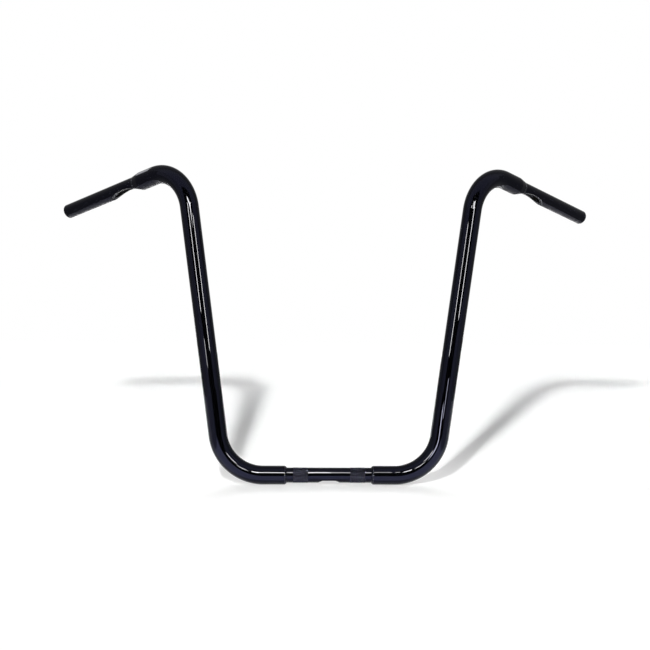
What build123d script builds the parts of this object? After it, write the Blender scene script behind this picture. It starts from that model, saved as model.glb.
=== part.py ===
from build123d import *
import os
from math import cos, radians, sin, sqrt, tan

# Ape hanger handlebar, welded from five steel tubes. Sizes are in millimetres.
# The origin is the middle of the clamp tube's axis. +Z is up the bar, +Y points
# back to the rider and +X points to the rider's left.

# Tube sections
slim_diameter = 25.4
slim_wall = 3.05
fat_wall = 3.175
spigot_clearance = 0.2

# Clamp tube, with two knurled bands and a wire exit slot underneath
clamp_width = 150.0
knurl_inset = 13.6
knurl_width = 25.4
knurl_height = 0.2
exit_length = 38.1
exit_width = 19.05

# Riser tubes, from the clamp tube up to the grips
clamp_run = 37.0
first_bend = 77.5
lean_angle = 7.25
upright_length = 388.5
second_bend = 62.6
sweep_angle = 38.86
droop_angle = 13.73
grip_run = 45.8
taper_length = 14.0
taper_lip = 0.8

# Grip tubes, seated in the risers as the clamp tube is
grip_length = 187.0
bend_margin = 5.0
tip_rounding = 1.5

# Wire slots under the grips, milled across the joint of each grip and riser
slot_offset = 29.0
slot_depth = 8.2
slot_radius = 88.0
slot_turn = 6.0
slot_overcut = 1.0

# Weld beads
weld_leg = 3.3
weld_bulge = 0.35
weld_reveal = 0.25

# Radii of the tubes and of the seats between them: the slim tubes' ends are turned down to enter the risers
slim_radius = slim_diameter / 2
bore_radius = slim_radius - slim_wall
spigot_radius = slim_radius - spigot_clearance
fat_radius = slim_radius + fat_wall
lip_radius = slim_radius + taper_lip
knurl_radius = slim_radius + knurl_height

# Directions of the upright and of the grip on the rider's left
lean = radians(lean_angle)
sweep_back = radians(sweep_angle)
droop = radians(droop_angle)
up = Vector(0, 0, 1)
upright_way = Vector(sin(lean), 0, cos(lean))
grip_way = Vector(cos(droop) * cos(sweep_back), cos(droop) * sin(sweep_back), -sin(droop))

# Corners of the riser's centre line, each a tangent length away from its bend's ends
first_tangent = first_bend * tan(radians(Vector(1, 0, 0).get_angle(upright_way)) / 2)
second_tangent = second_bend * tan(radians(upright_way.get_angle(grip_way)) / 2)
riser_start = Vector(clamp_width / 2, 0, 0)
first_corner = riser_start + Vector(clamp_run + first_tangent, 0, 0)
second_corner = first_corner + upright_way * (first_tangent + upright_length + second_tangent)
riser_end = second_corner + grip_way * (second_tangent + grip_run)

# Seats of the slim tubes inside the risers
clamp_reach = riser_start.X + clamp_run - bend_margin
grip_socket = grip_run - bend_margin
grip_seat = riser_end - grip_way * grip_socket

# Plane along the grip: x runs out to the tip, y is the grip's upper side
grip_plane = Plane(origin=riser_end, x_dir=grip_way, z_dir=grip_way.cross(up))
grip_axis = Axis(riser_end, grip_way)

# Cutter of the wire slot: a shallow arc, seen from the side, run across the grip
slot_floor = slot_depth - slim_radius
slot_mouth = -fat_radius - slot_overcut
slot_rise = slot_floor - slot_mouth
slot_half = sqrt(slot_rise * (2 * slot_radius - slot_rise))
with BuildPart() as wire_slot:
    with BuildSketch(grip_plane.rotated((slot_turn, 0, 0))):
        with BuildLine():
            ThreePointArc(
                (slot_offset - slot_half, slot_mouth),
                (slot_offset, slot_floor),
                (slot_offset + slot_half, slot_mouth),
            )
            Line((slot_offset + slot_half, slot_mouth), (slot_offset - slot_half, slot_mouth))
        make_face()
    extrude(amount=fat_radius + slot_overcut, both=True)

# Clamp tube
knurl_middle = riser_start.X - knurl_inset - knurl_width / 2
with BuildPart() as clamp_tube:
    with BuildSketch(Plane.YZ):
        Circle(slim_radius)
        Circle(bore_radius, mode=Mode.SUBTRACT)
    extrude(amount=riser_start.X - weld_leg, both=True)
    with BuildSketch(Plane.YZ):
        Circle(spigot_radius)
        Circle(bore_radius, mode=Mode.SUBTRACT)
    extrude(amount=clamp_reach, both=True)
    for middle in (-knurl_middle, knurl_middle):
        with BuildSketch(Plane.YZ.offset(middle)):
            Circle(knurl_radius)
            Circle(bore_radius, mode=Mode.SUBTRACT)
        extrude(amount=knurl_width / 2, both=True)
    with BuildSketch(Plane.XY):
        SlotOverall(exit_length, exit_width)
    extrude(amount=-knurl_radius, mode=Mode.SUBTRACT)

# Riser tube on the rider's left, bent from one length and tapered at the grip
with BuildPart() as left_riser_tube:
    with BuildLine() as riser_path:
        FilletPolyline(
            riser_start,
            first_corner,
            second_corner,
            riser_end,
            radius=[first_bend, second_bend],
        )
    with BuildSketch(Plane.YZ.offset(riser_start.X)):
        Circle(fat_radius)
        Circle(slim_radius, mode=Mode.SUBTRACT)
    sweep(path=riser_path.wire())
    with BuildSketch(grip_plane):
        with BuildLine():
            Polyline((-taper_length, fat_radius), (0, fat_radius), (0, lip_radius), close=True)
        make_face()
    revolve(axis=grip_axis, mode=Mode.SUBTRACT)
    add(wire_slot.part, mode=Mode.SUBTRACT)

# Grip tube on the rider's left
with BuildPart() as left_grip_tube:
    with BuildSketch(Plane(origin=grip_seat, z_dir=grip_way)):
        Circle(spigot_radius)
        Circle(bore_radius, mode=Mode.SUBTRACT)
    extrude(amount=grip_socket + grip_length)
    with BuildSketch(Plane(origin=riser_end + grip_way * weld_leg, z_dir=grip_way)):
        Circle(slim_radius)
        Circle(bore_radius, mode=Mode.SUBTRACT)
    extrude(amount=grip_length - weld_leg)
    tip_face = left_grip_tube.faces().sort_by(grip_axis)[-1]
    fillet(tip_face.edges().sort_by(SortBy.RADIUS)[-1], radius=min(tip_rounding, slim_wall / 2))
    add(wire_slot.part, mode=Mode.SUBTRACT)

# Weld bead between the clamp tube and the riser's square end
with BuildPart() as left_clamp_weld:
    with BuildSketch(Plane.XZ):
        with BuildLine():
            SagittaArc(
                (riser_start.X - weld_leg, slim_radius),
                (riser_start.X, fat_radius - weld_reveal),
                weld_bulge,
            )
            Polyline(
                (riser_start.X - weld_leg, slim_radius),
                (riser_start.X - weld_leg, spigot_radius),
                (riser_start.X, spigot_radius),
                (riser_start.X, fat_radius - weld_reveal),
            )
        make_face()
    revolve(axis=Axis.X)

# Weld bead between the grip tube and the riser's tapered end, open over the wire slot
with BuildPart() as left_grip_weld:
    with BuildSketch(grip_plane):
        with BuildLine():
            Polyline(
                (weld_leg, slim_radius),
                (weld_leg, spigot_radius),
                (0, spigot_radius),
                (0, lip_radius - weld_reveal),
                close=True,
            )
        make_face()
    revolve(axis=grip_axis)
    add(wire_slot.part, mode=Mode.SUBTRACT)

# Pieces on the rider's right
with BuildPart() as right_riser_tube:
    mirror(left_riser_tube.part, about=Plane.YZ)

with BuildPart() as right_grip_tube:
    mirror(left_grip_tube.part, about=Plane.YZ)

with BuildPart() as right_clamp_weld:
    mirror(left_clamp_weld.part, about=Plane.YZ)

with BuildPart() as right_grip_weld:
    mirror(left_grip_weld.part, about=Plane.YZ)

# One file for each piece
pieces = {
    "clamp_tube": clamp_tube,
    "left_riser_tube": left_riser_tube,
    "right_riser_tube": right_riser_tube,
    "left_grip_tube": left_grip_tube,
    "right_grip_tube": right_grip_tube,
    "left_clamp_weld": left_clamp_weld,
    "right_clamp_weld": right_clamp_weld,
    "left_grip_weld": left_grip_weld,
    "right_grip_weld": right_grip_weld,
}
os.makedirs("parts", exist_ok=True)
for name, piece in pieces.items():
    piece.part.label = name
    export_step(piece.part, f"parts/{name}.step")
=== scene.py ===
"""Looks of a tall gloss black handlebar, welded from tubes, on a white studio floor.

Sizes are in metres, in the part's own frame.
"""
import logging
import math
from dataclasses import dataclass
from enum import Enum
from typing import ClassVar

import bmesh
import bpy
import numpy as np
from bpy.types import Material, Node, NodeSocket, Object
from mathutils import Matrix, Vector


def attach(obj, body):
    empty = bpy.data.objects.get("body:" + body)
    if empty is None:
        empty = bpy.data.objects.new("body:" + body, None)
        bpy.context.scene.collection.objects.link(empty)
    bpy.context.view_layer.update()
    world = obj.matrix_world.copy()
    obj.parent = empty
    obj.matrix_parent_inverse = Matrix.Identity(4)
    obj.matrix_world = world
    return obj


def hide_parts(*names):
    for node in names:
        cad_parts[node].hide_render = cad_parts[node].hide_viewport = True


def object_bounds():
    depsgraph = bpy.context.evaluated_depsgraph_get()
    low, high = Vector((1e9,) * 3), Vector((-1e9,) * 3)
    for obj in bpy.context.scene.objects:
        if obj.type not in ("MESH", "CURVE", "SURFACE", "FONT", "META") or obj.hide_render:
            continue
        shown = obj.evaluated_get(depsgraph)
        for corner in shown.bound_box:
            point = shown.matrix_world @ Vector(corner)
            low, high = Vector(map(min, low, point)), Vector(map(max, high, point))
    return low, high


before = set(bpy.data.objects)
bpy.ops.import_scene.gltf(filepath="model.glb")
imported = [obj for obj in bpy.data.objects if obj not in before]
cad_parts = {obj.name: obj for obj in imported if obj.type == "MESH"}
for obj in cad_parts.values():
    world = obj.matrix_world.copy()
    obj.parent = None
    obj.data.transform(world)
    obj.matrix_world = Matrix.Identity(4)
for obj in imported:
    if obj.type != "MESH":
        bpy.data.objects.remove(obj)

LOGGER = logging.getLogger("handlebar")
CAD_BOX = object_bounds()
FLOOR = CAD_BOX[0][2]
BODY = "root"
MERGE_DISTANCE = 1e-6
SHARP_ANGLE = math.radians(28.0)
QUARTER_TURN = math.pi / 2
DIAGONAL = math.sqrt(0.5)
OUTWARD = np.array([1.0, 0.0, 0.0])
BACK = np.array([0.0, 1.0, 0.0])
DOWN = np.array([0.0, 0.0, -1.0])
WHITE = (1.0, 1.0, 1.0)
WARM = (1.0, 0.942, 0.52)
COOL = (1.0, 0.96, 0.68)

Point = np.ndarray
Colour = tuple[float, float, float]
Place = tuple[float, float, float]
Stops = tuple[tuple[float, float], ...]


class Side(Enum):
    """The rider's two sides, with the sign of X there."""

    LEFT = 1
    RIGHT = -1

    @property
    def word(self) -> str:
        """The side's name, as the pieces use it."""
        return self.name.lower()

    def place(self, point: Point) -> Point:
        """Carry a point of the rider's left over to this side.

        Args:
            point: The point, or a direction.

        Returns:
            The point that matches it.
        """
        return point * np.array([self.value, 1.0, 1.0])


class Surface(Enum):
    """The material slots of a tube's mesh."""

    OUTSIDE = 0
    INSIDE = 1
    # Rounded edges and rims, which take a grey paint as a painted highlight
    EDGE = 2


def unit(vector: Point) -> Point:
    """Make a direction one metre long.

    Args:
        vector: The direction.

    Returns:
        The same direction.
    """
    return vector / np.linalg.norm(vector)


def placed(name: str, data: bpy.types.ID) -> Object:
    """Put a new object in the scene.

    Args:
        name: The object's name.
        data: Its mesh, lamp or camera.

    Returns:
        The object.
    """
    item = bpy.data.objects.new(name, data)
    bpy.context.scene.collection.objects.link(item)
    return item


# Finishes


@dataclass(frozen=True)
class Grain:
    """A noise on a surface: its grains in a metre, its finer layers and, for a bump, its height in metres."""

    scale: float
    detail: float
    height: float = 0.0


class NodeTree:
    """A shader's nodes, with short ways to add the ones that are used more than once."""

    def __init__(self, tree: bpy.types.ShaderNodeTree) -> None:
        """Take a tree to add to.

        Args:
            tree: The tree that takes the nodes.
        """
        self.nodes = tree.nodes
        self.links = tree.links

    @staticmethod
    def fill(node: Node, **values: float | tuple[float, ...]) -> None:
        """Set a node's uniform inputs.

        Args:
            node: The node.
            values: The inputs' names, with an underscore for each space, and their values.
        """
        for name, value in values.items():
            node.inputs[name.replace("_", " ")].default_value = value

    def add(self, kind: str, **values: float | tuple[float, ...]) -> Node:
        """Add a node.

        Args:
            kind: The node's type.
            values: Its uniform inputs, named as for fill.

        Returns:
            The new node.
        """
        node = self.nodes.new(kind)
        self.fill(node, **values)
        return node

    def link(self, start: Node, output: str, end: Node, socket: str) -> None:
        """Join one node to another.

        Args:
            start: The first node.
            output: The name of its output.
            end: The second node.
            socket: The name of its input.
        """
        self.links.new(start.outputs[output], end.inputs[socket])

    def feed(self, node: Node, *sources: NodeSocket | float) -> None:
        """Fill a node's inputs in order.

        Args:
            node: The node.
            sources: Outputs to join to the inputs, or numbers to set there.
        """
        for socket, source in zip(node.inputs, sources):
            if isinstance(source, float):
                socket.default_value = source
            else:
                self.links.new(source, socket)

    def reckon(self, operation: str, *sources: NodeSocket | float) -> NodeSocket:
        """Reckon with outputs and numbers.

        Args:
            operation: The name of the operation.
            sources: What it works on, in order.

        Returns:
            The result's output.
        """
        node = self.add("ShaderNodeMath")
        node.operation = operation
        self.feed(node, *sources)
        return node.outputs["Value"]

    def noise(self, grain: Grain) -> Node:
        """Noise in the part's own coordinates.

        Args:
            grain: The noise's sizes.

        Returns:
            The noise node.
        """
        node = self.add("ShaderNodeTexNoise", Scale=grain.scale, Detail=grain.detail)
        self.link(self.add("ShaderNodeTexCoord"), "Object", node, "Vector")
        return node

    def ramp(self, source: NodeSocket, stops: list[tuple[float, Colour]]) -> Node:
        """A colour chosen by a number.

        Args:
            source: The number's output.
            stops: Numbers from 0 to 1, in order, each with its colour.

        Returns:
            The colour ramp node.
        """
        node = self.add("ShaderNodeValToRGB")
        elements = node.color_ramp.elements
        for _ in stops[2:]:
            elements.new(1.0)
        for element, (position, colour) in zip(elements, stops):
            element.position = position
            element.color = (*colour, 1.0)
        self.feed(node, source)
        return node

    def bump(self, grain: Grain, under: Node | None) -> Node:
        """Raise a surface by a noise.

        Args:
            grain: The noise's sizes.
            under: Another bump that this one lies on.

        Returns:
            The bump node.
        """
        node = self.add("ShaderNodeBump", Distance=grain.height)
        self.link(self.noise(grain), "Fac", node, "Height")
        if under is not None:
            self.link(under, "Normal", node, "Normal")
        return node

    def ramp_along_y(self, source: str, stops: Stops) -> Node:
        """A grey that changes along Y.

        Args:
            source: Which texture coordinate is used.
            stops: Places along Y, in order, each with its grey.

        Returns:
            The colour ramp node.
        """
        low, high = stops[0][0], stops[-1][0]
        parts = self.add("ShaderNodeSeparateXYZ")
        share = self.add("ShaderNodeMapRange", From_Min=low, From_Max=high)
        self.link(self.add("ShaderNodeTexCoord"), source, parts, "Vector")
        self.link(parts, "Y", share, "Value")
        greys = [((place - low) / (high - low), (grey, grey, grey)) for place, grey in stops]
        return self.ramp(share.outputs["Result"], greys)


class MaterialTree(NodeTree):
    """The nodes of a new material."""

    def __init__(self, name: str) -> None:
        """Start a material with its shader and output.

        Args:
            name: The material's name.
        """
        self.material = bpy.data.materials.new(name)
        self.material.use_nodes = True
        super().__init__(self.material.node_tree)
        self.shader = self.nodes["Principled BSDF"]


@dataclass(frozen=True)
class Finish:
    """A coat whose colour and gloss follow a mottle, with bumps laid one on another."""

    LOW_END: ClassVar[float] = 0.3
    HIGH_END: ClassVar[float] = 0.7
    name: str
    deep: Colour
    pale: Colour
    rough: tuple[float, float]
    specular: float
    mottle: Grain
    bumps: tuple[Grain, ...] = ()
    tint: Colour = WHITE

    def material(self) -> Material:
        """Make the coat.

        Returns:
            The finished material.
        """
        tree = MaterialTree(self.name)
        mottle = tree.noise(self.mottle)
        colours = [(self.LOW_END, self.deep), (self.HIGH_END, self.pale)]
        rough = tree.add("ShaderNodeMapRange", To_Min=self.rough[0], To_Max=self.rough[1])
        tree.link(tree.ramp(mottle.outputs["Fac"], colours), "Color", tree.shader, "Base Color")
        tree.link(mottle, "Fac", rough, "Value")
        tree.link(rough, "Result", tree.shader, "Roughness")
        bump = None
        for grain in self.bumps:
            bump = tree.bump(grain, bump)
        if bump is not None:
            tree.link(bump, "Normal", tree.shader, "Normal")
        tree.fill(tree.shader, Specular_IOR_Level=self.specular, Specular_Tint=(*self.tint, 1.0))
        return tree.material


@dataclass(frozen=True)
class GlossPaint(Finish):
    """Black gloss paint, baked on steel tube, with slow waves and a faint orange peel."""

    name: str = "gloss_black_paint"
    deep: Colour = (0.0007, 0.0007, 0.0010)
    pale: Colour = (0.0014, 0.0014, 0.0020)
    rough: tuple[float, float] = (0.018, 0.034)
    specular: float = 0.21
    mottle: Grain = Grain(34.0, 4.0)
    bumps: tuple[Grain, ...] = (Grain(24.0, 1.0, 0.00005), Grain(420.0, 2.0, 0.000002))
    tint: Colour = (0.5, 0.53, 1.0)


@dataclass(frozen=True)
class KnurlPaint(Finish):
    """The same paint on the knurl's teeth, where it lies thin and dull."""

    name: str = "knurl_black_paint"
    deep: Colour = (0.02, 0.0204, 0.03)
    pale: Colour = (0.038, 0.0388, 0.056)
    rough: tuple[float, float] = (0.34, 0.5)
    specular: float = 0.1
    mottle: Grain = Grain(900.0, 3.0)
    tint: Colour = (0.5, 0.53, 1.0)


@dataclass(frozen=True)
class EdgePaint(Finish):
    """The paint on rounded edges, greyer than the gloss to stand for the highlights that the edges catch: a
    painted highlight.
    """

    name: str = "edge_grey_paint"
    deep: Colour = (0.045, 0.047, 0.062)
    pale: Colour = (0.085, 0.088, 0.11)
    rough: tuple[float, float] = (0.28, 0.4)
    specular: float = 0.14
    mottle: Grain = Grain(500.0, 3.0)


@dataclass(frozen=True)
class BoreCoat(Finish):
    """Thin overspray and dark mill scale inside the tubes."""

    name: str = "bore_black_coat"
    deep: Colour = (0.1, 0.104, 0.125)
    pale: Colour = (0.18, 0.185, 0.21)
    rough: tuple[float, float] = (0.35, 0.6)
    specular: float = 0.5
    mottle: Grain = Grain(240.0, 5.0)
    bumps: tuple[Grain, ...] = (Grain(240.0, 5.0, 0.00005),)


# Sizes and centre line of the bar


@dataclass(frozen=True)
class BarSizes:
    """The bar's sizes, the same as the solids have."""

    slim_radius: float = 0.0127
    bore_radius: float = 0.00965
    spigot_radius: float = 0.0125
    fat_radius: float = 0.015875
    clamp_half: float = 0.075
    clamp_run: float = 0.037
    first_bend: float = 0.0775
    lean: float = math.radians(7.25)
    upright_length: float = 0.3885
    second_bend: float = 0.0626
    sweep: float = math.radians(38.86)
    droop: float = math.radians(13.73)
    grip_run: float = 0.0458
    grip_length: float = 0.187
    bend_margin: float = 0.005
    taper_length: float = 0.014
    taper_lip: float = 0.0008
    tip_rounding: float = 0.0015
    weld_leg: float = 0.0033
    weld_bulge: float = 0.00035
    weld_reveal: float = 0.00025
    edge_round: float = 0.00055
    lip_round: float = 0.00035
    rim_round: float = 0.0011
    support: float = 0.0012

    @property
    def lip_radius(self) -> float:
        """The riser's outer radius at its tapered end."""
        return self.slim_radius + self.taper_lip


@dataclass(frozen=True)
class WireSlot:
    """The slot under a grip: a shallow arc, seen from the side, milled across the tubes."""

    slim_radius: float
    offset: float = 0.029
    depth: float = 0.0082
    radius: float = 0.088
    turn: float = math.radians(6.0)

    def height(self, along: float) -> float:
        """How far the cut stays from the grip's axis.

        Args:
            along: The place along the grip, out from the riser's end.

        Returns:
            The distance from the axis to the cut, towards the slot's mouth.
        """
        away = min(abs(along - self.offset), self.radius)
        return self.slim_radius - self.depth + self.radius - math.sqrt(self.radius**2 - away**2)

    def reach(self, height: float) -> float:
        """Half the slot's length at some distance from the axis.

        Args:
            height: The distance from the grip's axis.

        Returns:
            The distance from the slot's middle to its end there.
        """
        rise = height - self.slim_radius + self.depth
        return math.sqrt(rise * (2 * self.radius - rise))


class CentreLine:
    """The bar's centre line on the rider's left, from the clamp tube to the grip's tip."""

    def __init__(self, sizes: BarSizes) -> None:
        """Work out the line's corners and directions.

        Args:
            sizes: The bar's sizes.
        """
        self.sizes = sizes
        self.upright = np.array([math.sin(sizes.lean), 0.0, math.cos(sizes.lean)])
        flat = math.cos(sizes.droop)
        out, back = flat * math.cos(sizes.sweep), flat * math.sin(sizes.sweep)
        self.grip = np.array([out, back, -math.sin(sizes.droop)])
        self.start = OUTWARD * sizes.clamp_half
        first = self.tangent(sizes.first_bend, OUTWARD, self.upright)
        second = self.tangent(sizes.second_bend, self.upright, self.grip)
        self.first_corner = self.start + OUTWARD * (sizes.clamp_run + first)
        self.second_corner = self.first_corner + self.upright * (first + sizes.upright_length + second)
        self.riser_end = self.second_corner + self.grip * (second + sizes.grip_run)
        self.across = unit(np.cross(DOWN, self.grip))
        self.over = np.cross(self.across, self.grip)

    @staticmethod
    def tangent(radius: float, before: Point, after: Point) -> float:
        """The distance from a bend's end to its corner.

        Args:
            radius: The bend's radius.
            before: The direction before the bend.
            after: The direction after it.

        Returns:
            The tangent length.
        """
        return radius * math.tan(math.acos(float(before @ after)) / 2)

    def slot_axes(self, slot: WireSlot) -> tuple[Point, Point]:
        """The slot's own directions.

        Args:
            slot: The wire slot.

        Returns:
            The direction out of the slot's mouth, and the direction across the grip.
        """
        over = self.over * math.cos(slot.turn) + self.across * math.sin(slot.turn)
        return -over, np.cross(self.grip, over)

    def riser(self, step: float) -> tuple[list[Point], list[Point]]:
        """Points along the riser, close together in its bends and beside them.

        Args:
            step: The angle between points in a bend, in radians.

        Returns:
            The points, and the line's direction at each.
        """
        support = self.sizes.support
        points = [self.start, self.start + OUTWARD * support]
        ways = [OUTWARD, OUTWARD]
        bends = (
            (self.first_corner, OUTWARD, self.upright, self.sizes.first_bend),
            (self.second_corner, self.upright, self.grip, self.sizes.second_bend),
        )
        for corner, before, after, radius in bends:
            turn = math.acos(float(before @ after))
            begin = corner - before * self.tangent(radius, before, after)
            inward = unit(after - before * float(before @ after))
            count = max(2, round(turn / step))
            points.append(begin - before * support)
            ways.append(before)
            for index in range(count + 1):
                angle = turn * index / count
                swing = before * math.sin(angle) + inward * (1 - math.cos(angle))
                points.append(begin + swing * radius)
                ways.append(before * math.cos(angle) + inward * math.sin(angle))
            points.append(points[-1] + after * support)
            ways.append(after)
        return points, ways


# Tube meshes


@dataclass
class Ring:
    """One cross-section of a tube, with the gap that a slot leaves in it."""

    RIM_PARTS: ClassVar[int] = 3
    centre: Point
    mouth: Point
    across: Point
    outer: float
    inner: float
    outer_gap: float = 0.0
    inner_gap: float = 0.0
    lip: tuple[float, float] | None = None
    rim: float = 0.0
    kind: Surface = Surface.OUTSIDE

    def arc(self, radius: float, gap: float, count: int) -> list[Point]:
        """Points round the ring, from one side of the gap to the other.

        Args:
            radius: The arc's radius.
            gap: Half the gap, as an angle from the slot's mouth.
            count: How many steps the arc has.

        Returns:
            The points.
        """
        angles = np.linspace(gap, 2 * math.pi - gap, count + 1)
        return [self.centre + radius * (math.cos(a) * self.mouth + math.sin(a) * self.across) for a in angles]

    def cut_ends(self) -> tuple[Point, Point, float]:
        """The ends of the slot's cut face.

        Returns:
            The outer and inner corners, as distances towards the mouth and across, and the rim's rounding.
        """
        outer = self.outer * np.array([math.cos(self.outer_gap), math.sin(self.outer_gap)])
        inner = np.array([self.lip[1], self.lip[0]])
        return outer, inner, min(self.rim, float(np.linalg.norm(inner - outer)) / self.RIM_PARTS)

    def rim_gap(self) -> float:
        """Find where the outer wall ends at the slot.

        Returns:
            Half the wall's gap, as an angle, with the rim's rounding.
        """
        return self.outer_gap + (self.cut_ends()[2] / self.outer if self.lip else 0.0)

    def cut(self, sign: int, steps: int) -> list[Point]:
        """Points across one of the slot's cut faces, round its rim and in to its inner corner.

        Args:
            sign: Which side of the mouth the face is on, 1 or -1.
            steps: How many steps the rim's rounding has.

        Returns:
            The points, from the outer wall to the inner corner.
        """
        corner, inner, rim = self.cut_ends()
        length = float(np.linalg.norm(inner - corner))
        turn = self.rim_gap()
        begin = self.outer * np.array([math.cos(turn), math.sin(turn)])
        end = corner + (inner - corner) * (rim / length if length > MERGE_DISTANCE else 0.0)
        places = []
        for share in np.linspace(0.0, 1.0, steps + 1):
            places.append(begin * (1 - share) ** 2 + corner * 2 * share * (1 - share) + end * share**2)
        places.append(inner)
        return [self.centre + up * self.mouth + sign * out * self.across for up, out in places]


class TubeMesh:
    """A closed tube wall through rings, cut open where the rings have gaps."""

    STEPS = 120
    RIM_STEPS = 4

    def __init__(self, name: str, rings: list[Ring]) -> None:
        """Build the wall.

        Args:
            name: The piece's name.
            rings: The tube's cross-sections, in order along it.
        """
        self.name = name
        self.points: list[Point] = []
        self.faces: list[tuple[int, ...]] = []
        self.kinds: list[Surface] = []
        layers = [self.layer(ring) for ring in rings]
        for ring, before, after in zip(rings[1:], layers, layers[1:]):
            self.strip(before["outer"], after["outer"], ring.kind)
            self.strip(before["inner"], after["inner"], Surface.INSIDE)
            for cut in ("near_cut", "far_cut"):
                if before[cut] and after[cut]:
                    rim = self.RIM_STEPS + 1
                    # The slot's rounded rims take the edge paint, a painted highlight
                    self.strip(before[cut][:rim], after[cut][:rim], Surface.EDGE)
                    self.strip(before[cut][rim - 1 :], after[cut][rim - 1 :], Surface.OUTSIDE)
        for layer in (layers[0], layers[-1]):
            self.strip(layer["outer"], layer["inner"], Surface.OUTSIDE)
            for cut in ("near_cut", "far_cut"):
                self.fan(layer[cut])

    def fan(self, row: list[int]) -> None:
        """Close the rounded corner of an end that a slot cuts.

        Args:
            row: The indices of the cut face's points there, the inner corner last, or none.
        """
        for before, after in zip(row, row[1:-1]):
            self.faces.append((row[-1], before, after))
            self.kinds.append(Surface.OUTSIDE)

    def layer(self, ring: Ring) -> dict[str, list[int]]:
        """Add a ring's points.

        Args:
            ring: The cross-section.

        Returns:
            The indices of its outer and inner points, and of those across its cut faces.
        """
        groups = {
            "outer": ring.arc(ring.outer, ring.rim_gap(), self.STEPS),
            "inner": ring.arc(ring.inner, ring.inner_gap, self.STEPS),
            "near_cut": ring.cut(1, self.RIM_STEPS) if ring.lip else [],
            "far_cut": ring.cut(-1, self.RIM_STEPS) if ring.lip else [],
        }
        indices = {}
        for key, group in groups.items():
            first = len(self.points)
            self.points.extend(group)
            indices[key] = list(range(first, len(self.points)))
        return indices

    def strip(self, before: list[int], after: list[int], kind: Surface) -> None:
        """Join two rows of points with faces.

        Args:
            before: The first row's indices.
            after: The second row's indices.
            kind: Which material the faces take.
        """
        for k in range(len(before) - 1):
            self.faces.append((before[k], before[k + 1], after[k + 1], after[k]))
            self.kinds.append(kind)

    def piece(self) -> Object:
        """Make the wall an object, with clean joints.

        Returns:
            The object, linked to the scene.
        """
        made = bmesh.new()
        corners = [made.verts.new(point) for point in self.points]
        for indices, kind in zip(self.faces, self.kinds):
            face = made.faces.new([corners[i] for i in indices])
            face.material_index = kind.value
            face.smooth = True
        return finish_mesh(self.name, made)


def finish_mesh(name: str, made: bmesh.types.BMesh) -> Object:
    """Merge a mesh's doubled points, face it outwards and mark its sharp edges.

    Args:
        name: The piece's name.
        made: The mesh, which is freed.

    Returns:
        The object, linked to the scene.
    """
    bmesh.ops.remove_doubles(made, verts=made.verts, dist=MERGE_DISTANCE)
    bmesh.ops.dissolve_degenerate(made, edges=made.edges, dist=MERGE_DISTANCE)
    bmesh.ops.recalc_face_normals(made, faces=made.faces)
    mesh = bpy.data.meshes.new(name)
    made.to_mesh(mesh)
    made.free()
    mesh.set_sharp_from_angle(angle=SHARP_ANGLE)
    return placed(name, mesh)


# Pieces of the bar


@dataclass
class BarPiece:
    """A piece of the bar, with the finishes of its outside, inside and edges."""

    sizes: BarSizes
    line: CentreLine
    slot: WireSlot
    paint: Material
    coat: Material
    edge: Material

    def dress(self, piece: Object, node: str) -> None:
        """Give a piece its finishes and its place on the part.

        Args:
            piece: The built piece.
            node: The solid that it stands for.
        """
        for finish in (self.paint, self.coat, self.edge):
            piece.data.materials.append(finish)
        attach(piece, BODY)
        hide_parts(node)
        LOGGER.info("%s: %d faces, for %s", piece.name, len(piece.data.polygons), node)


@dataclass
class SidePiece(BarPiece):
    """A piece that the bar has on both sides."""

    word: ClassVar[str]
    node: ClassVar[str]

    def rings(self, side: Side) -> list[Ring]:
        """The piece's cross-sections.

        Args:
            side: The rider's side.

        Returns:
            The cross-sections, in order along the piece.
        """
        raise NotImplementedError

    def tube(self, side: Side) -> TubeMesh:
        """The piece's wall.

        Args:
            side: The rider's side.

        Returns:
            The mesh, not yet an object.
        """
        return TubeMesh(f"{side.word}_{self.word}", self.rings(side))

    def build(self, side: Side) -> Object:
        """Build and dress the piece.

        Args:
            side: The rider's side.

        Returns:
            The piece.
        """
        piece = self.tube(side).piece()
        self.dress(piece, f"{side.word}_{self.node}")
        return piece

    def slot_ring(self, side: Side, along: float, outer: float, inner: float) -> Ring:
        """A ring on the grip's axis, opened where the wire slot cuts it.

        Args:
            side: The rider's side.
            along: The place along the grip, out from the riser's end.
            outer: The wall's outer radius there.
            inner: The wall's inner radius there.

        Returns:
            The cross-section.
        """
        height = self.slot.height(along)
        axes = (self.line.riser_end + self.line.grip * along, *self.line.slot_axes(self.slot))
        ring = Ring(*map(side.place, axes), outer, inner)
        if height <= outer + MERGE_DISTANCE:
            ring.outer_gap = math.acos(min(height / outer, 1.0))
            ring.inner_gap = math.acos(min(height / inner, 1.0))
            ring.lip = (math.sqrt(max(inner**2 - height**2, 0.0)), min(height, outer))
            ring.rim = self.sizes.rim_round
        return ring


def spaced(step: float, *knots: float) -> list[float]:
    """Values spaced evenly from each knot to the next, with all the knots among them.

    Args:
        step: The largest gap between values.
        knots: The first value, the last one and any between them.

    Returns:
        The values.
    """
    values = [knots[0]]
    for low, high in zip(knots, knots[1:]):
        count = max(1, math.ceil((high - low) / step - MERGE_DISTANCE))
        values += [low + (high - low) * index / count for index in range(1, count + 1)]
    return values


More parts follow.
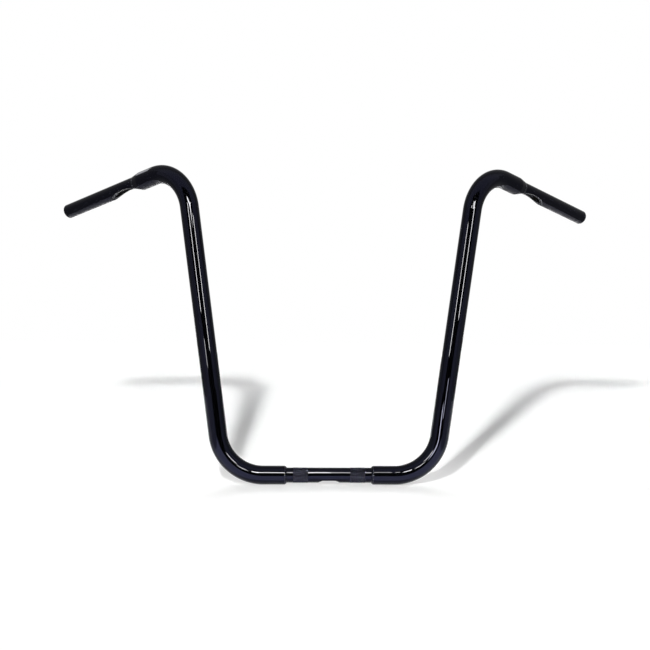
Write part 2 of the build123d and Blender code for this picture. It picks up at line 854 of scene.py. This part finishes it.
@dataclass
class GripTube(SidePiece):
    """The slim tube of a grip, seated in its riser, with the wire slot under it."""

    word: ClassVar[str] = "grip"
    node: ClassVar[str] = "grip_tube"
    slot_step: float = 0.001
    plain_step: float = 0.012
    tip_steps: int = 6

    def rings(self, side: Side) -> list[Ring]:
        """The grip's cross-sections.

        Args:
            side: The rider's side.

        Returns:
            The cross-sections, from its seat to its tip.
        """
        s = self.sizes
        seat = s.bend_margin - s.grip_run
        shoulder = s.grip_length - s.tip_rounding
        middle = self.slot.offset
        bore_reach = self.slot.reach(s.bore_radius)
        begin = middle - self.slot.reach(s.spigot_radius)
        end = middle + self.slot.reach(s.slim_radius)
        sunk = [seat] + spaced(self.slot_step, begin, middle - bore_reach, s.weld_leg)
        bare = spaced(self.slot_step, s.weld_leg, middle + bore_reach, end)
        bare += spaced(self.plain_step, end, shoulder - s.support)[1:] + [shoulder]
        outline = [(at, s.spigot_radius) for at in sunk] + [(at, s.slim_radius) for at in bare]
        for index in range(1, self.tip_steps + 1):
            angle = QUARTER_TURN * index / self.tip_steps
            at = shoulder + s.tip_rounding * math.sin(angle)
            outline.append((at, s.slim_radius - s.tip_rounding * (1 - math.cos(angle))))
        return [self.slot_ring(side, at, outer, s.bore_radius) for at, outer in outline]


@dataclass
class RiserTube(SidePiece):
    """The fat tube from the clamp tube up to the grip, bent twice and tapered at its end."""

    word: ClassVar[str] = "riser"
    node: ClassVar[str] = "riser_tube"
    bend_step: float = math.radians(1.5)
    slot_step: float = 0.001
    round_steps: int = 4

    def rings(self, side: Side) -> list[Ring]:
        """The riser's cross-sections.

        Args:
            side: The rider's side.

        Returns:
            The cross-sections, from the clamp tube to the grip.
        """
        s = self.sizes
        points, ways = self.line.riser(self.bend_step)
        mouth, _ = self.line.slot_axes(self.slot)
        rings = []
        for point, way in zip(reversed(points), reversed(ways)):
            mouth = unit(mouth - way * float(mouth @ way))
            across = np.cross(mouth, way)
            rings.append(Ring(*map(side.place, (point, mouth, across)), s.fat_radius, s.slim_radius))
        rings.reverse()
        rings = self.square_end(side, rings[0]) + rings[1:]
        for at, outer in self.end_outline():
            ring = self.slot_ring(side, at, outer, s.slim_radius)
            # The rounded lip at the riser's end takes the edge paint, a painted highlight
            ring.kind = Surface.EDGE if at > -s.lip_round else Surface.OUTSIDE
            rings.append(ring)
        return rings

    def square_end(self, side: Side, first: Ring) -> list[Ring]:
        """The rounded edge of the riser's square end at the clamp tube.

        Args:
            side: The rider's side.
            first: The cross-section at the end.

        Returns:
            The cross-sections round the edge.
        """
        size = self.sizes.edge_round
        rings = []
        for turn in np.linspace(0.0, QUARTER_TURN, self.round_steps + 1):
            centre = first.centre + OUTWARD * side.value * size * (1 - math.cos(turn))
            outer = first.outer - size * (1 - math.sin(turn))
            # The rounded square end takes the edge paint, a painted highlight
            rings.append(Ring(centre, first.mouth, first.across, outer, first.inner, kind=Surface.EDGE))
        return rings

    def end_outline(self) -> list[tuple[float, float]]:
        """The outline of the riser's straight end, with its edge rounded.

        Returns:
            Places along the grip, up to the riser's end, with the outer radius at each.
        """
        s = self.sizes
        slope = (s.fat_radius - s.lip_radius) / s.taper_length
        begin = self.slot.offset - self.slot.reach(s.fat_radius)
        bore_begin = self.slot.offset - self.slot.reach(s.slim_radius)
        places = spaced(self.slot_step, begin, bore_begin, -s.lip_round) + [-s.taper_length]
        outline = [(at, min(s.fat_radius, s.lip_radius - slope * at)) for at in sorted(places)]
        for turn in np.linspace(0.0, QUARTER_TURN, self.round_steps + 1)[1:]:
            at = s.lip_round * (math.sin(turn) - 1)
            outline.append((at, s.lip_radius - slope * at - s.lip_round * (1 - math.cos(turn))))
        return outline


@dataclass
class GripWeld(SidePiece):
    """The weld bead round a grip tube, open over the wire slot."""

    word: ClassVar[str] = "grip_bead"
    node: ClassVar[str] = "grip_weld"
    steps: int = 6

    def rings(self, side: Side) -> list[Ring]:
        """The bead's cross-sections.

        Args:
            side: The rider's side.

        Returns:
            The cross-sections, from the riser to the grip.
        """
        s = self.sizes
        top = s.lip_radius - s.weld_reveal
        rings = []
        for share in np.linspace(0.0, 1.0, self.steps + 1):
            outer = top + (s.slim_radius - top) * share
            rings.append(self.slot_ring(side, s.weld_leg * float(share), outer, s.spigot_radius))
        return rings


@dataclass
class ClampWeld(SidePiece):
    """The weld bead between the clamp tube and a riser's square end, with faint ripples."""

    word: ClassVar[str] = "clamp_bead"
    node: ClassVar[str] = "clamp_weld"
    steps: int = 8
    ripples: int = 46
    ripple_height: float = 0.00007

    def rings(self, side: Side) -> list[Ring]:
        """The bead's cross-sections.

        Args:
            side: The rider's side.

        Returns:
            The cross-sections, from the riser to the clamp tube.
        """
        s = self.sizes
        top = s.fat_radius - s.weld_reveal
        rings = []
        for share in np.linspace(0.0, 1.0, self.steps + 1):
            bulge = 4 * s.weld_bulge * share * (1 - share) * DIAGONAL
            at = s.clamp_half - s.weld_leg * share - bulge
            outer = top + (s.slim_radius - top) * share + bulge
            rings.append(Ring(side.place(OUTWARD * at), DOWN, BACK, outer, s.spigot_radius))
        return rings

    def tube(self, side: Side) -> TubeMesh:
        """The bead's wall, raised in slanting ripples.

        Args:
            side: The rider's side.

        Returns:
            The mesh, not yet an object.
        """
        tube = super().tube(side)
        floor = self.sizes.slim_radius + self.sizes.weld_reveal
        for index, point in enumerate(tube.points):
            radius = math.hypot(point[1], point[2])
            if radius > floor:
                angle = math.atan2(point[2], point[1])
                wave = math.cos(self.ripples * angle + abs(point[0]) / self.sizes.weld_leg)
                grow = 1 + self.ripple_height * wave / radius
                tube.points[index] = point * np.array([1.0, grow, grow])
        return tube


@dataclass
class ClampTube(BarPiece):
    """The slim tube in the middle, with two knurled bands and a wire exit slot underneath."""

    knurl_inset: float = 0.0136
    knurl_width: float = 0.0254
    knurl_seat: float = 0.0123
    exit_length: float = 0.0381
    exit_width: float = 0.01905
    exit_steps: int = 14

    def ring(self, at: float, outer: float) -> Ring:
        """One cross-section of the tube.

        Args:
            at: The place along the tube.
            outer: The outer radius there.

        Returns:
            The cross-section, opened at the wire exit.
        """
        inner = self.sizes.bore_radius
        ring = Ring(OUTWARD * at, DOWN, BACK, outer, inner)
        if abs(at) <= self.exit_length / 2 + MERGE_DISTANCE:
            radius = self.exit_width / 2
            past = max(abs(at) - (self.exit_length / 2 - radius), 0.0)
            half = math.sqrt(max(radius**2 - past**2, 0.0))
            ring.outer_gap = math.asin(half / outer)
            ring.inner_gap = math.asin(half / inner)
            ring.lip = (half, math.sqrt(inner**2 - half**2))
            ring.rim = self.sizes.rim_round
        return ring

    def half_outline(self) -> list[tuple[float, float]]:
        """The tube's outline from its middle to its end.

        Returns:
            Places along the tube with the outer radius at each.
        """
        s = self.sizes
        radius = self.exit_width / 2
        straight = self.exit_length / 2 - radius
        turns = np.linspace(0.0, QUARTER_TURN, self.exit_steps)
        outline = [(straight + radius * math.sin(turn), s.slim_radius) for turn in turns]
        knurl_end = s.clamp_half - self.knurl_inset
        knurl_begin = knurl_end - self.knurl_width
        shoulder = s.clamp_half - s.weld_leg
        seat = s.clamp_half + s.clamp_run - s.bend_margin
        outline += [(knurl_begin, s.slim_radius), (knurl_begin, self.knurl_seat)]
        outline += [(knurl_end, self.knurl_seat), (knurl_end, s.slim_radius)]
        outline += [(shoulder, s.slim_radius), (shoulder, s.spigot_radius), (seat, s.spigot_radius)]
        return outline

    def build(self) -> Object:
        """Build and dress the clamp tube.

        Returns:
            The piece.
        """
        half = self.half_outline()
        outline = [(-at, outer) for at, outer in reversed(half)] + half
        rings = [self.ring(at, outer) for at, outer in outline]
        piece = TubeMesh("clamp_tube_body", rings).piece()
        self.dress(piece, "clamp_tube")
        return piece


@dataclass
class KnurlBand:
    """A rolled diamond knurl round the clamp tube."""

    clamp: ClampTube
    paint: Material
    crest: float = 0.0129
    root: float = 0.01258
    diamonds: int = 64
    diamond_length: float = 0.0016
    steps: int = 4

    def tooth(self, along: float, turn: float) -> float:
        """The height of the knurl.

        Args:
            along: The place along the band, in diamonds.
            turn: The place round the band, in diamonds.

        Returns:
            A share of the tooth's height, from 0 in a groove to 1 on a point.
        """
        grooves = [abs(2 * (value - math.floor(value)) - 1) for value in (turn + along, turn - along)]
        return 1 - max(grooves)

    def build(self, side: Side) -> Object:
        """Build and dress one band.

        Args:
            side: The rider's side.

        Returns:
            The piece.
        """
        clamp = self.clamp
        end = clamp.sizes.clamp_half - clamp.knurl_inset
        rows = round(clamp.knurl_width / self.diamond_length) * self.steps
        columns = self.diamonds * self.steps
        places = np.linspace(end - clamp.knurl_width, end, rows + 1)
        hoops = []
        for row, at in enumerate(places):
            height = 0.0 if row in (0, rows) else self.crest - self.root
            teeth = [self.tooth(row / self.steps, column / self.steps) for column in range(columns)]
            hoops.append((at, [self.root + height * tooth for tooth in teeth]))
        hoops += [(at, [clamp.knurl_seat] * columns) for at in (places[-1], places[0])]
        turns = [2 * math.pi * (column / columns) for column in range(columns)]
        made = bmesh.new()
        layers = []
        for at, radii in hoops:
            corners = [(side.value * at, r * math.cos(a), r * math.sin(a)) for r, a in zip(radii, turns)]
            layers.append([made.verts.new(corner) for corner in corners])
        for before, after in zip(layers, layers[1:] + layers[:1]):
            for column in range(columns):
                after_column = (column + 1) % columns
                made.faces.new((before[column], before[after_column], after[after_column], after[column]))
        piece = finish_mesh(f"{side.word}_knurl_band", made)
        piece.data.materials.append(self.paint)
        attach(piece, BODY)
        LOGGER.info("%s: %d faces, on the clamp tube", piece.name, len(piece.data.polygons))
        return piece


# Studio


@dataclass(frozen=True)
class PhotoCamera:
    """The photograph's viewpoint, found by fitting the bar's outline."""

    place: Place = (-0.07321, -1.68789, 0.35747)
    azimuth: float = math.radians(-2.173)
    elevation: float = math.radians(3.413)
    roll: float = math.radians(-0.564)
    focal_px: float = 1000.0
    image_px: float = 650.0
    sensor_mm: float = 36.0

    def build(self) -> Object:
        """Set up the camera.

        Returns:
            The scene's camera.
        """
        flat = math.cos(self.elevation)
        east, north = math.cos(self.azimuth), math.sin(self.azimuth)
        level = Vector((east, north, 0.0))
        back = Vector((north * flat, -east * flat, math.sin(self.elevation)))
        down = (-back).cross(level)
        right = level * math.cos(self.roll) + down * math.sin(self.roll)
        low = down * math.cos(self.roll) - level * math.sin(self.roll)
        data = bpy.data.cameras.new("photo_camera")
        data.sensor_width = self.sensor_mm
        data.lens = self.sensor_mm * self.focal_px / self.image_px
        camera = placed("photo_camera", data)
        turn = Matrix((right, -low, back)).transposed()
        camera.matrix_world = Matrix.Translation(Vector(self.place)) @ turn.to_4x4()
        bpy.context.scene.camera = camera
        return camera


@dataclass(frozen=True)
class LightCard:
    """A flat lamp that shows in the paint's reflections, upright or level, from one end to the other."""

    name: str
    low: Place
    high: Place
    width: float
    radiance: float
    only: tuple[str, ...] = ()
    colour: Colour = WARM
    faces: Place = (0.0, 0.0, 0.25)

    def build(self) -> Object:
        """Hang the lamp, lit for reflections alone.

        Returns:
            The lamp.
        """
        low, high = Vector(self.low), Vector(self.high)
        tall = high - low
        up = tall.normalized()
        middle = (low + high) / 2
        toward = Vector(self.faces) - middle
        toward = (toward - up * toward.dot(up)).normalized()
        data = bpy.data.lights.new(self.name, "AREA")
        data.shape = "RECTANGLE"
        data.size = self.width
        data.size_y = tall.length
        data.color = self.colour
        data.energy = self.radiance * math.pi * self.width * tall.length
        lamp = placed(self.name, data)
        turn = Matrix((up.cross(-toward), up, -toward)).transposed()
        lamp.matrix_world = Matrix.Translation(middle) @ turn.to_4x4()
        lamp.visible_camera = False
        lamp.visible_diffuse = False
        if self.only:
            group = bpy.data.collections.new(f"{self.name}_lights")
            for name in self.only:
                group.objects.link(bpy.data.objects[name])
            lamp.light_linking.receiver_collection = group
        return lamp


@dataclass(frozen=True)
class StudioCard:
    """An upright card, black or grey, which shows in the paint's reflections alone."""

    name: str
    left: tuple[float, float]
    right: tuple[float, float]
    height: float
    bottom: float = 0.0
    glow: float = 0.0

    def build(self) -> Object:
        """Stand the card on the floor, or hang it over the floor.

        Returns:
            The card.
        """
        low = FLOOR + self.bottom
        ends = (self.left, self.right)
        corners = [(*end, low) for end in ends] + [(*end, low + self.height) for end in reversed(ends)]
        mesh = bpy.data.meshes.new(self.name)
        mesh.from_pydata(corners, [], [(0, 1, 2, 3)])
        card = placed(self.name, mesh)
        paper = MaterialTree(f"{self.name}_paper")
        paper.fill(paper.shader, Base_Color=(0.0, 0.0, 0.0, 1.0), Specular_IOR_Level=0.0)
        paper.fill(paper.shader, Emission_Color=(*WHITE, 1.0), Emission_Strength=self.glow)
        mesh.materials.append(paper.material)
        card.visible_camera = False
        card.visible_diffuse = False
        card.visible_shadow = False
        return card


@dataclass(frozen=True)
class ShadowLamp:
    """A round lamp that throws a shadow of the bar, with the same light all over the floor."""

    name: str
    place: Place
    radius: float
    light: float

    def build(self) -> Object:
        """Hang the lamp.

        Returns:
            The lamp.
        """
        data = bpy.data.lights.new(self.name, "POINT")
        data.shadow_soft_size = self.radius
        data.energy = 1.0
        data.use_nodes = True
        tree = NodeTree(data.node_tree)
        power = 4 * math.pi**2 * self.light / (self.place[2] - FLOOR)
        falloff = tree.add("ShaderNodeLightFalloff", Strength=power)
        path = tree.add("ShaderNodeLightPath")
        strength = tree.reckon("MULTIPLY", falloff.outputs["Constant"], path.outputs["Ray Length"])
        tree.links.new(strength, tree.nodes["Emission"].inputs["Strength"])
        lamp = placed(self.name, data)
        lamp.location = self.place
        lamp.visible_glossy = False
        lamp.visible_camera = False
        return lamp


@dataclass(frozen=True)
class StudioFloor:
    """A white floor that keeps the bar's shadows, which fade close to the bar and in front of it."""

    half: float = 2.9
    white: float = 1.05
    shares: Stops = (
        *((-0.3, 0.0), (-0.12, 0.2), (-0.06, 0.6), (-0.02, 0.9), (0.0, 0.7), (0.03, 0.45)),
        *((0.1, 0.52), (0.2, 0.66), (0.4, 0.85), (0.7, 1.0), (2.2, 1.0), (2.8, 0.0)),
    )

    def build(self, light: float) -> Object:
        """Lay the floor.

        Args:
            light: The light that falls on it, where 1 makes a white floor white.

        Returns:
            The floor.
        """
        corners = [(x * self.half, y * self.half, FLOOR) for x, y in ((-1, -1), (1, -1), (1, 1), (-1, 1))]
        mesh = bpy.data.meshes.new("studio_floor")
        mesh.from_pydata(corners, [], [(0, 1, 2, 3)])
        floor = placed("studio_floor", mesh)
        mesh.materials.append(self.material(light))
        return floor

    def material(self, light: float) -> Material:
        """Make the floor's white, which glows as much as the lamps leave missing.

        Args:
            light: The light that falls on it.

        Returns:
            The material.
        """
        tree = MaterialTree("studio_white")
        tree.nodes.remove(tree.shader)
        output = tree.nodes["Material Output"]
        albedo = tree.ramp_along_y("Object", self.shares)
        matt = tree.add("ShaderNodeBsdfDiffuse")
        shine = tree.add("ShaderNodeEmission")
        total = tree.add("ShaderNodeAddShader")
        path = tree.add("ShaderNodeLightPath").outputs
        seen = tree.reckon("MAXIMUM", path["Is Camera Ray"], path["Is Glossy Ray"])
        seen = tree.reckon("MAXIMUM", seen, path["Is Transmission Ray"])
        glow = tree.reckon("MULTIPLY_ADD", albedo.outputs["Color"], -light, self.white)
        tree.links.new(tree.reckon("MULTIPLY", seen, glow), shine.inputs["Strength"])
        tree.link(albedo, "Color", matt, "Color")
        tree.feed(total, matt.outputs["BSDF"], shine.outputs["Emission"])
        tree.link(total, "Shader", output, "Surface")
        return tree.material


@dataclass(frozen=True)
class StudioRoom:
    """The room: white paper behind the bar, grey sides and a dark gap where the camera stands."""

    walls: Stops = (
        *((-1.0, 0.0), (-0.8, 0.0), (-0.72, 0.95), (-0.15, 0.9)),
        *((0.15, 0.34), (0.8, 0.3), (0.93, 1.0), (1.0, 1.0)),
    )

    def build(self, room_light: float) -> None:
        """Light the room.

        Args:
            room_light: The room's light on matt surfaces.
        """
        world = bpy.data.worlds.new("studio_room")
        world.use_nodes = True
        world.node_tree.nodes.clear()
        tree = NodeTree(world.node_tree)
        output = tree.add("ShaderNodeOutputWorld")
        walls = tree.ramp_along_y("Generated", self.walls)
        mirrored = tree.add("ShaderNodeBackground")
        plain = tree.add("ShaderNodeBackground", Color=(*WHITE, 1.0), Strength=room_light)
        paper = tree.add("ShaderNodeBackground", Color=(*WHITE, 1.0))
        tree.link(walls, "Color", mirrored, "Color")
        path = tree.add("ShaderNodeLightPath").outputs
        straight = tree.reckon("MAXIMUM", path["Is Camera Ray"], path["Is Transmission Ray"])
        gloss, total = (tree.add("ShaderNodeMixShader") for _ in range(2))
        tree.feed(gloss, path["Is Glossy Ray"], plain.outputs["Background"], mirrored.outputs["Background"])
        tree.feed(total, straight, gloss.outputs["Shader"], paper.outputs["Background"])
        tree.link(total, "Shader", output, "Surface")
        bpy.context.scene.world = world


# The places of the lamps and cards, and the pieces that some of the lamps are for

STRIP_Y = -1.0
FOOT_Y = -0.4
LINE_Y = -0.64
FAR_Y = -6.0
PANEL_Y = -0.22
PANEL_Z = FLOOR + 0.001
CARD_X = 0.8
FRONT_X, FRONT_Y, FRONT_Z = (-0.345, -1.728, 1.138)
ABOVE = (0.0, PANEL_Y, 1.0)
TAPER = (-0.33, 0.05, 0.51)
RIGHT = ("right_riser",)
LEFT = ("left_riser",)
CLAMP = ("clamp_tube_body",)

SHADOW_LAMPS = (
    ShadowLamp("front_lamp", (FRONT_X, FRONT_Y, FRONT_Z), 0.058, 0.54),
    ShadowLamp("low_front_lamp", (FRONT_X, FRONT_Y, 1.0), 0.1, 0.08),
    ShadowLamp("high_front_lamp", (FRONT_X, FRONT_Y, 1.28), 0.1, 0.08),
    ShadowLamp("back_lamp", (0.0, 1.8, 0.95), 0.5, 0.3),
)

STUDIO_CARDS = (
    StudioCard("near_dark_card", (-0.31, -0.45), (0.36, -0.45), 0.15),
    StudioCard("far_dark_card", (-0.55, -1.05), (0.575, -1.05), 0.38),
    StudioCard("high_dark_card", (-0.2, -0.7), (0.2, -0.7), 0.45, bottom=0.67),
    StudioCard("right_front_card", (-CARD_X, -0.5), (-CARD_X, -0.05), 0.8, glow=0.68),
    StudioCard("left_front_card", (CARD_X, -0.5), (CARD_X, -0.05), 0.8, glow=0.68),
    StudioCard("right_back_card", (-CARD_X, -0.05), (-CARD_X, 0.7), 0.8, glow=0.33),
    StudioCard("left_back_card", (CARD_X, -0.05), (CARD_X, 0.7), 0.8, glow=0.33),
)

LIGHT_CARDS = (
    LightCard("right_strip", (-0.465, STRIP_Y, 0.21), (-0.465, STRIP_Y, 0.6), 0.09, 115.0),
    LightCard("left_strip", (0.465, STRIP_Y, 0.21), (0.465, STRIP_Y, 0.6), 0.1, 112.0),
    LightCard("right_low_strip", (-0.5, STRIP_Y, 0.055), (-0.5, STRIP_Y, 0.13), 0.1, 55.0, RIGHT),
    LightCard("left_low_strip", (0.192, FOOT_Y, 0.05), (0.192, FOOT_Y, 0.135), 0.035, 45.0, LEFT, COOL),
    LightCard("left_foot_strip", (0.085, FOOT_Y, 0.015), (0.04, FOOT_Y, 0.092), 0.035, 70.0, LEFT, COOL),
    LightCard("right_bend_strip", (2.03, FAR_Y, 1.6), (1.6, FAR_Y, 3.4), 0.6, 90.0, RIGHT),
    LightCard("left_bend_strip", (-2.06, FAR_Y, 1.6), (-1.6, FAR_Y, 3.4), 0.6, 90.0, LEFT),
    LightCard("right_blob", (0.3, FAR_Y, 4.5), (1.25, FAR_Y, 4.2), 1.2, 130.0, RIGHT),
    LightCard("left_blob", (-0.3, FAR_Y, 4.9), (-1.4, FAR_Y, 4.2), 1.2, 110.0, LEFT),
    LightCard("right_line", (-0.31, LINE_Y, 0.68), (-0.05, LINE_Y, 0.51), 0.1, 130.0, RIGHT),
    LightCard("left_line", (0.215, LINE_Y, 0.595), (0.365, LINE_Y, 0.595), 0.17, 100.0, LEFT),
    LightCard("left_stub_line", (0.12, LINE_Y, 0.66), (0.2, LINE_Y, 0.66), 0.12, 45.0, LEFT),
    LightCard("right_clamp_line", (-0.3, LINE_Y, 0.75), (-0.045, LINE_Y, 0.75), 0.24, 62.0, CLAMP),
    LightCard("clamp_line", (-0.045, LINE_Y, 0.75), (0.045, LINE_Y, 0.75), 0.24, 125.0, CLAMP),
    LightCard("left_clamp_line", (0.045, LINE_Y, 0.75), (0.3, LINE_Y, 0.75), 0.24, 52.0, CLAMP),
    LightCard("floor_panel", (-0.3, PANEL_Y, PANEL_Z), (0.3, PANEL_Y, PANEL_Z), 0.4, 1.8, (), WHITE, ABOVE),
    LightCard("taper_panel", (-0.978, 1.171, 1.267), (-1.428, 0.736, 1.267), 0.16, 2.7, RIGHT, WHITE, TAPER),
)


@dataclass(frozen=True)
class Studio:
    """The camera, floor, room, lamps and cards."""

    camera: PhotoCamera = PhotoCamera()
    floor: StudioFloor = StudioFloor()
    room: StudioRoom = StudioRoom()
    room_light: float = 0.05

    def build(self) -> None:
        """Set up the studio."""
        bpy.context.scene.view_settings.view_transform = "Standard"
        self.camera.build()
        self.floor.build(self.room_light + sum(lamp.light for lamp in SHADOW_LAMPS))
        self.room.build(self.room_light)
        for thing in (*SHADOW_LAMPS, *STUDIO_CARDS, *LIGHT_CARDS):
            thing.build()


def main() -> None:
    """Build the bar's pieces in order, then the studio."""
    logging.basicConfig(level=logging.INFO, format="%(name)s: %(message)s")
    sizes = BarSizes()
    line = CentreLine(sizes)
    slot = WireSlot(sizes.slim_radius)
    finishes = (GlossPaint().material(), BoreCoat().material(), EdgePaint().material())
    shared = (sizes, line, slot, *finishes)
    clamp = ClampTube(*shared)
    clamp.build()
    band = KnurlBand(clamp, KnurlPaint().material())
    for side in Side:
        band.build(side)
        for kind in (ClampWeld, RiserTube, GripTube, GripWeld):
            kind(*shared).build(side)
    Studio().build()


if __name__ == "__main__":
    main()
